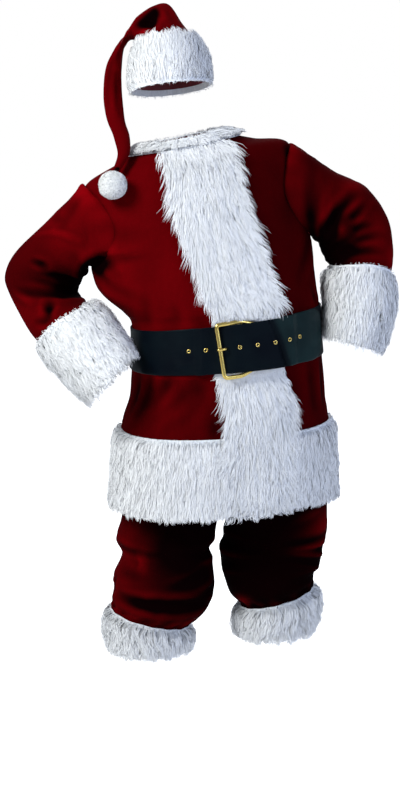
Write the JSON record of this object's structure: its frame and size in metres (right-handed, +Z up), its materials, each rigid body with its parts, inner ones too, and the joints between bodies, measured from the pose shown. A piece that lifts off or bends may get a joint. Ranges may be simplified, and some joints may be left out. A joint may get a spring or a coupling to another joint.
{
  "type": "santa suit",
  "caption": "Velvet suit as worn, sleeves bent to the hips: jacket and trousers trimmed with long fur, wide belt with a square buckle, and a long cap that ends in a pompom.",
  "frame": {"origin": "between the shoulders at the base of the neck, where the wearer carries the jacket", "axes": "+Z up, -Y towards where the wearer faces, +X towards the wearer's left"},
  "size_m": [0.9572, 0.4607, 1.5475],
  "materials": {
    "velvet": "crushed plush velvet, dark crimson",
    "fur": "long white pile",
    "pompom": "short off-white pile",
    "leather": "smooth, half gloss, near black",
    "brass": "polished"
  },
  "bodies": {
    "root": {"jacket_front_left": "velvet", "jacket_front_right": "velvet", "jacket_back": "velvet", "sleeve_left": "velvet", "sleeve_right": "velvet", "trouser_front_left": "velvet", "trouser_front_right": "velvet", "trouser_back_left": "velvet", "trouser_back_right": "velvet", "waistband": "velvet", "hat_crown": "velvet", "front_fur": "fur", "hem_fur_left": "fur", "hem_fur_right": "fur", "hem_fur_back": "fur", "collar_fur": "fur", "cuff_fur_left": "fur", "cuff_fur_right": "fur", "leg_fur_left": "fur", "leg_fur_right": "fur", "hat_fur": "fur", "pompom": "pompom", "belt_strap": "leather", "buckle_frame": "brass", "buckle_prong": "brass", "eyelet_1": "brass", "eyelet_2": "brass", "eyelet_3": "brass", "eyelet_4": "brass", "eyelet_5": "brass", "eyelet_6": "brass", "eyelet_7": "brass"}
  },
  "joints": []
}
